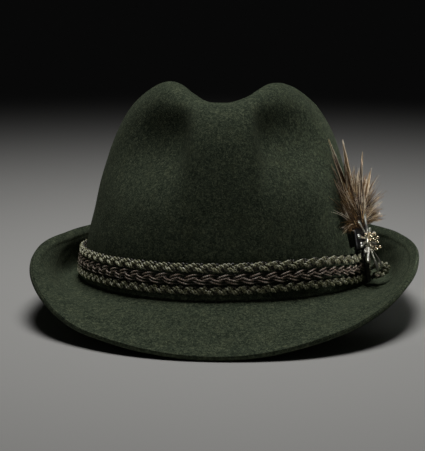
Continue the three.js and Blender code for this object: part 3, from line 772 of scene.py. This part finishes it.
def end_loop(name, look, material):
    """Loop of a cord's end beside the keeper: from its first foot to its last by half a cosine,
    and out to its reach by a power of the sine."""
    angle = np.linspace(0, np.pi, LOOP_STEPS)
    between = (1 - np.cos(angle)) / 2
    feet = np.array([look["first"], look["last"]])
    across = feet[0] + (feet[1] - feet[0]) * between[:, None]
    along = LOOP_START + look["reach"] * np.sin(angle) ** 0.7
    centre = np.stack([along, across[:, 0], across[:, 1] + look["bulge"] * np.sin(angle)], -1)
    way = unit(np.gradient(centre, axis=0))
    up = unit(np.cross(way, OUT if feet[0, 0] != feet[1, 0] else UP))
    room = look["half"] - look["yarn"]
    swing, lift = room - look["spread"][0], room - look["spread"][1]
    points, faces, uv, level = plait(centre, up, np.cross(up, way), look, swing, lift, False)
    piece = add_mesh(name + "_plait", on_trim(points), faces, material, {"level": level}, uv)
    place_piece(piece, name)


def black_leather():
    """Thin glazed leather, dyed through: black, with a fine grain that breaks up a soft
    highlight."""
    values = {"Base Color": linear("#0b0a0a"), "Roughness": 0.45, "Specular IOR Level": 0.35}
    material, tree, shader = new_material("black glazed leather", values)
    place = add_node(tree, "ShaderNodeTexCoord").outputs["Object"]
    cells = add_node(tree, "ShaderNodeTexVoronoi", None, {"Vector": place, "Scale": 1 / (0.8 * MM)})
    relief(tree, shader, cells.outputs["Distance"], 0.08, 0.6)
    return material


def keeper(material):
    """Strap over the cords: a superellipse section swept up in front of them, round a bend and
    back to the wall."""
    middle = KEEPER["near"] + KEEPER["leather"] / 2
    lid = KEEPER["top"] + KEEPER["leather"] / 2
    bend = KEEPER["bend"]
    turn = np.linspace(0, np.pi / 2, 10)
    front = np.linspace(KEEPER["bottom"], lid - bend, 24)[:-1]
    back = np.linspace(middle - bend, KEEPER["near"] - KEEPER["lip"], 8)[1:]
    out = np.r_[0 * front + middle, middle - bend * (1 - np.cos(turn)), back]
    up = np.r_[front, lid - bend * (1 - np.sin(turn)), 0 * back + lid]
    across, along = circle(36).T
    across = KEEPER["leather"] / 2 * blunt(across, 0.5)
    section = np.stack([across, KEEPER["wide"] / 2 * blunt(along, 0.3)], -1)
    points, faces, _ = tubes(np.stack([0 * out, up, out], -1)[None], 1.0, section, ALONG)
    piece = add_mesh("keeper_strap", on_trim(points), faces, material)
    place_piece(piece, "cord_keeper")


def sleeve(material):
    """Oval cup of leather: ellipses along a profile that goes from the middle of the foot up the
    outside, over a rounded rim and down the inside to the floor, a little creased by sines
    around it."""
    foot, rim, wall = SLEEVE["foot"], SLEEVE["rim"], SLEEVE["wall"]
    floor = foot + SLEEVE["floor"]
    # Profile, ring by ring: how far in from the outside, 13 at the middle, and how high
    inside = [0.15, wall / 2, wall - 0.15, wall, wall, wall, wall + 1, 13]
    inset = np.array([13, 1.2, 0.35, 0, 0, 0, 0, 0, *inside])
    rise = np.array([0, 0, 0.35, 1.2, 3, 6, 9, 11.4, 11.85, 12, 11.85, 11.4, 7, 2.6, 2, 2]) + foot
    level = ((rise - foot) / (rim - foot))[:, None]
    angle = np.linspace(0, 2 * np.pi, 96, endpoint=False)[None, :]
    crease = SLEEVE["crease"] * np.sin(SLEEVE["creases"] * angle + 1) * level * (inset < 2)[:, None]
    size = SLEEVE["taper"] + (1 - SLEEVE["taper"]) * level
    wide = np.maximum(SLEEVE["half_wide"] * size - inset[:, None], 0.3) + crease
    deep = np.maximum(SLEEVE["half_deep"] * size - inset[:, None], 0.1) + crease
    out = SLEEVE["out"] + deep * np.sin(angle)
    grid = np.stack([wide * np.cos(angle), rise[:, None] + 0 * angle, out], -1)
    ends = np.array([[0, foot, SLEEVE["out"]], [0, floor, SLEEVE["out"]]])
    points = on_trim(np.concatenate([grid.reshape(-1, 3), ends]))
    piece = add_mesh("sleeve_cup", points, capped_faces(*grid.shape[:2]), material)
    place_piece(piece, "plume_sleeve")


def hair_colour():
    """Hair of a plume: dark brown at the root, warm brown along it and cream where it is pale,
    which the tone of each vertex chooses; a dull gloss along the hairs."""
    values = {"Roughness": 0.42, "Specular IOR Level": 0.45}
    material, tree, shader = new_material("plume hair, brown to cream", values)
    tone = add_node(tree, "ShaderNodeAttribute", {"attribute_name": "tone"}).outputs["Fac"]
    stops = [(0.0, "#1d130a"), (0.3, "#553c22"), (0.6, "#94703f"), (0.82, "#dcbd88"),
             (1.0, "#fff2d8")]
    tree.links.new(ramp(tree, tone, stops), shader.inputs["Base Color"])
    return material


def lock_hairs(t):
    """Hairs of the long locks: each follows its lock's quadratic curve from the sleeve to the
    tip, off it by a share of a radius that swells and comes to a point. Returns paths and the
    tone at each of their steps."""
    locks = np.array(LOCKS, float)
    which = np.repeat(np.arange(len(locks)), np.round(locks[:, 4] * HAIRS_A_MM).astype(int))
    lock = locks[which][:, None, :]
    count = len(which)
    flat = 0 * lock[..., :1]
    start = np.concatenate([lock[..., 3:4], flat + SLEEVE["rim"] - 2, flat + SLEEVE["out"]], -1)
    tip = lock[..., :3]
    middle = (start + tip) / 2
    middle[..., 2] = start[..., 2] * (1 - LOCK_LAG) + tip[..., 2] * LOCK_LAG
    reach = rng.uniform(0.62, 1.0, (count, 1, 1)) ** 0.6
    u = t * reach
    line = (1 - u) ** 2 * start + 2 * u * (1 - u) * middle + u * u * tip
    turn = rng.uniform(0, 2 * np.pi, (count, 1, 1))
    off = np.sqrt(rng.uniform(0, 1, (count, 1, 1)))
    spread = (0.25 + 1.2 * lock[..., 4:5] * (0.25 + 2.2 * u) * (1 - u) ** 1.1) * off
    curl = 0.25 * u * np.sin(2 * np.pi * (1.2 * u + rng.uniform(0, 1, (count, 1, 1))))
    aside, outwards = spread * np.cos(turn) + curl, 0.8 * spread * np.sin(turn)
    paths = line + np.concatenate([aside, 0 * u, outwards], -1)
    streak = rng.choice(LOCK_STREAKS[0], (count, 1), p=LOCK_STREAKS[1])
    u = u[..., 0]
    tone = 0.08 + 0.2 * u + 0.6 * lock[..., 5] * smooth((u - 0.2) / 0.5) + streak
    return paths, tone - 0.3 * smooth((u - 0.86) / 0.14)


def tuft_hairs(t, tufts, each, lean, length, foot_up, bend, tones):
    """Short hairs in tufts that fan out of the sleeve: a tuft has one lean along the wall, one
    flare out from it, one length and one foot, and its hairs start a little apart and meet near
    its tip. Those that lean to the back flare out too. Returns paths and the tone at each of
    their steps."""
    lean = rng.uniform(*lean, tufts)
    flare = rng.uniform(-0.05, 0.12, tufts)
    flare = flare + smooth((lean - 0.1) / 0.7) * rng.uniform(0, 0.8, tufts)
    length = rng.uniform(*length, tufts) * (1 - 0.4 * np.maximum(flare, 0))
    foot = np.stack([5.5 * np.clip(lean, -1.2, 1.2) + rng.uniform(-2.5, 2.5, tufts),
                     SLEEVE["rim"] + rng.uniform(*foot_up, tufts),
                     SLEEVE["out"] + rng.uniform(-1.4, 1.4, tufts)], -1)
    tone = rng.choice(TUFT_TONES[0], tufts, p=TUFT_TONES[1])
    which = np.repeat(np.arange(tufts), each)
    count = len(which)
    whole = lean, flare, length, tone
    lean, flare, length, tone = (values[which][:, None, None] for values in whole)
    angle = (lean + rng.normal(0, 0.05, (count, 1, 1))) * (1 + bend * (t - 0.5))
    flare = flare * (0.3 + 0.7 * t)
    way = np.concatenate([np.sin(angle), np.cos(angle) * np.cos(flare), np.sin(flare)], -1)
    wave = 0.5 * t * np.sin(2 * np.pi * (1.3 * t + rng.uniform(0, 1, (count, 1, 1))))
    apart = rng.normal(0, 1.0, (count, 1, 3)) * (1 - 0.65 * t)
    run = length * rng.uniform(0.75, 1, (count, 1, 1)) * t
    paths = foot[which][:, None, :] + run * way + apart + wave * np.array([0.7, 0.1, 0.7])
    paths[..., 2] -= WALL_FALL[0] * np.minimum(paths[..., 0], 0) ** 2
    streak = rng.choice(TUFT_STREAKS[0], (count, 1, 1), p=TUFT_STREAKS[1])
    return paths, (tone + tones[0] + tones[1] * t + streak)[..., 0]


def plume():
    """Plume of hairs: long locks, a fluff of short tufts round their foot, longer tufts between
    them, and a few stiff pale wisps. Every hair is a three-sided tube that thins towards its tip
    and is thicker where it is paler. It is kept HAIR_CLEAR off the wall, which falls away from
    the trim's plane by the squares of the way to the front and of the height."""
    t = np.linspace(0, 1, HAIR_STEPS)[None, :, None]
    groups = [(*lock_hairs(t), LOCK_HAIR)]
    groups += [(*tuft_hairs(t, *tuft), radius) for *tuft, radius in TUFTS]
    paths = np.concatenate([group[0] for group in groups])
    wall = -WALL_FALL[0] * np.minimum(paths[..., 0], 0) ** 2 - WALL_FALL[1] * paths[..., 1] ** 2
    paths[..., 2] = np.maximum(paths[..., 2], HAIR_CLEAR + wall)
    tone = np.concatenate([group[1] for group in groups])
    thick = np.repeat([group[2] for group in groups], [len(group[0]) for group in groups])
    radii = thick[:, None] * (1 - t[0, :, 0] ** 2 * 0.85) * (0.8 + 0.5 * np.clip(tone, 0, 1))
    points, faces, _ = tubes(paths, radii, circle(HAIR_SIDES), np.array([0.3, 0.1, 1.0]))
    tone = np.concatenate([np.repeat(tone, HAIR_SIDES, axis=1), tone[:, :1], tone[:, -1:]], 1)
    tone = {"tone": np.clip(tone, 0, 1)}
    piece = add_mesh("plume_hairs", on_trim(points), faces, hair_colour(), tone)
    place_piece(piece, "plume")


def old_silver():
    """Cast silver that has been worn for years: bright where it is rubbed, grey tarnish in
    patches, and a warm, smoother gilt left on the beads, fainter on the stems and the plate."""
    material, tree, shader = new_material("worn silver, partly gilt", {"Metallic": 1.0})
    place = add_node(tree, "ShaderNodeTexCoord").outputs["Object"]
    wear = noise(tree, place, 2.5, 4, 0.6)
    silver = ramp(tree, wear, [(0.3, "#9c998e"), (0.45, "#eeebe2"), (1.0, "#f8f5ec")])
    gilt = add_node(tree, "ShaderNodeAttribute", {"attribute_name": "gilt"}).outputs["Fac"]
    tree.links.new(blend(tree, gilt, silver, linear("#b9a272")), shader.inputs["Base Color"])
    rubbed = reckon(tree, "MULTIPLY_ADD", wear, -0.2, 0.44)
    tree.links.new(reckon(tree, "MULTIPLY_ADD", gilt, -0.25, rubbed), shader.inputs["Roughness"])
    relief(tree, shader, noise(tree, place, 1.1, 3, 0.6), 0.15, 0.6)
    return material


def flower_pin():
    """Flower pin: a domed plate; petals that are flattened tubes with a narrow neck and a tip
    rounded by the square root of 1 - v**2, bent by a smooth step to their own distance out; and
    a bunch of beads, spheres swept from pole to pole, on thin straight stems that start a
    quarter of the way out from the middle."""
    share = (1 - np.cos(np.linspace(0.15, np.pi, 22))) / 2
    angle, length, half, neck, far = np.array(PETALS).T[:, :, None]
    turn = np.radians(angle)
    out = far * smooth(share)
    centres = np.stack([-np.sin(turn) * share * length, np.cos(turn) * share * length, out], -1)
    cap = 1.3 * half / length
    tip = np.sqrt(np.clip(1 - (np.maximum(share - 1 + cap, 0) / cap) ** 2, 0.0004, 1))
    radii = half * (neck + (1 - neck) * smooth((share - 0.6) / 0.25)) * tip
    petals = tubes(centres, radii, circle(12) * [1, 0.7], OUT)[:2]

    beads = np.array(BEADS, float)[:, None, :]
    bead = PIN["bead"]
    phi = np.linspace(0.05, np.pi - 0.05, 14)
    axis = np.stack([0 * phi, 0 * phi, -bead * np.cos(phi)], -1)
    balls = tubes(beads + axis, bead * np.sin(phi), circle(16), UP)[:2]
    t = np.linspace(0, 1, 8)[:, None]
    stems = beads * np.concatenate([0.25 + 0.75 * t, 0.25 + 0.75 * t, t], -1)
    stems = tubes(stems, PIN["stem"], circle(8), np.array([0.2, 1.0, 0.1]))[:2]

    # Plate, ring by ring: height and radius as shares of its thickness and its own radius
    height = PIN["thick"] * (np.r_[0, 0.1, 0.3, 0.6, 0.85, 1, 1.06, 1.1] - 0.5)
    edge = PIN["plate"] * np.r_[0.9, 0.97, 1, 1, 0.97, 0.85, 0.5, 0.1]
    dish = tubes(np.stack([0 * height, 0 * height, height], -1)[None], edge, circle(40), UP)[:2]

    parts = petals, balls, stems, dish
    points, faces = joined(*parts)
    gilt = np.repeat([0, 0.6, 0.3, 0.2], [len(part[0]) for part in parts])
    points = on_trim(points + [0, PIN["height"], PIN["out"]])
    piece = add_mesh("flower_silver", points, faces, old_silver(), {"gilt": gilt})
    place_piece(piece, "flower_pin")


def studio():
    """Plain pale floor, matt as painted board, the LAMPS and a faint grey light from all round."""
    values = {"Base Color": linear("#a9a8a5"), "Roughness": 0.9}
    material = new_material("plain pale floor", values)[0]
    corners = FLOOR_REACH * np.array([[-1, -1, 0], [1, -1, 0], [1, 1, 0], [-1, 1, 0]])
    floor = add_mesh("floor", corners, np.array([[0, 1, 2, 3]]), material)
    for name, (place, target, width, tall, power, spread) in LAMPS.items():
        light = bpy.data.lights.new(name, "AREA")
        light.shape = "RECTANGLE"
        light.size = width
        light.size_y = tall
        light.energy = power
        light.spread = np.radians(spread)
        lamp = bpy.data.objects.new(name, light)
        lamp.matrix_world = look_from(place, target)
        bpy.context.collection.objects.link(lamp)
    world = bpy.data.worlds.new("studio")
    world.use_nodes = True
    backdrop = world.node_tree.nodes["Background"].inputs
    backdrop["Color"].default_value = linear("#d8dadd")
    backdrop["Strength"].default_value = WORLD_LIGHT
    bpy.context.scene.world = world


def look_from(place, target):
    """Matrix of a camera or lamp at place that looks at target, with its own up as close to +Z
    as it can be."""
    back = unit(np.array(place, float) - np.array(target, float))
    right = unit(np.cross([0, 0, 1], back)) if abs(back[2]) < 0.999 else np.array([1.0, 0, 0])
    up = np.cross(back, right)
    basis = np.eye(4)
    basis[:3, 0], basis[:3, 1], basis[:3, 2] = right, up, back
    basis[:3, 3] = place
    return Matrix(basis.tolist())


def photo_camera():
    """Camera at the photograph's angle: its lens gives METRES_A_PIXEL at the aim, and its shift
    puts the aim on its pixel."""
    azimuth, elevation = np.radians(VIEW_AZIMUTH), np.radians(VIEW_ELEVATION)
    level = np.cos(elevation)
    back = np.array([np.sin(azimuth) * level, -np.cos(azimuth) * level, np.sin(elevation)])
    data = bpy.data.cameras.new("photo_view")
    data.sensor_fit = "HORIZONTAL"
    data.sensor_width = SENSOR
    data.lens = SENSOR * VIEW_DISTANCE / METRES_A_PIXEL / FRAME_SIZE[0]
    data.shift_x = (FRAME_SIZE[0] / 2 - AIM_PIXEL[0]) / FRAME_SIZE[0]
    data.shift_y = (AIM_PIXEL[1] - FRAME_SIZE[1] / 2) / FRAME_SIZE[0]
    data.clip_start = 0.01
    data.clip_end = 30
    camera = bpy.data.objects.new("photo_view", data)
    camera.matrix_world = look_from(np.array(AIM) + VIEW_DISTANCE * back, AIM)
    bpy.context.collection.objects.link(camera)
    bpy.context.scene.camera = camera


photo_camera()
felt_body()
olive = yarn("olive cotton yarn", [(0.36, "#7d7b52"), (0.5, "#bdbc92"), (0.62, "#f0efd8")])
brown = yarn("brown cotton yarn", [(0.36, "#8d7563"), (0.5, "#c4ab99"), (0.62, "#f4e6d6")])
for name, look in CORDS.items():
    cord(name, look, *((brown, "brown_cord") if name == "middle_cord" else (olive, "olive_cord")))
end_loop("green_end_loop", LOOPS["green_end_loop"], olive)
end_loop("brown_end_loop", LOOPS["brown_end_loop"], brown)
leather = black_leather()
keeper(leather)
sleeve(leather)
plume()
flower_pin()
studio()
bpy.context.scene.view_settings.view_transform = "Standard"
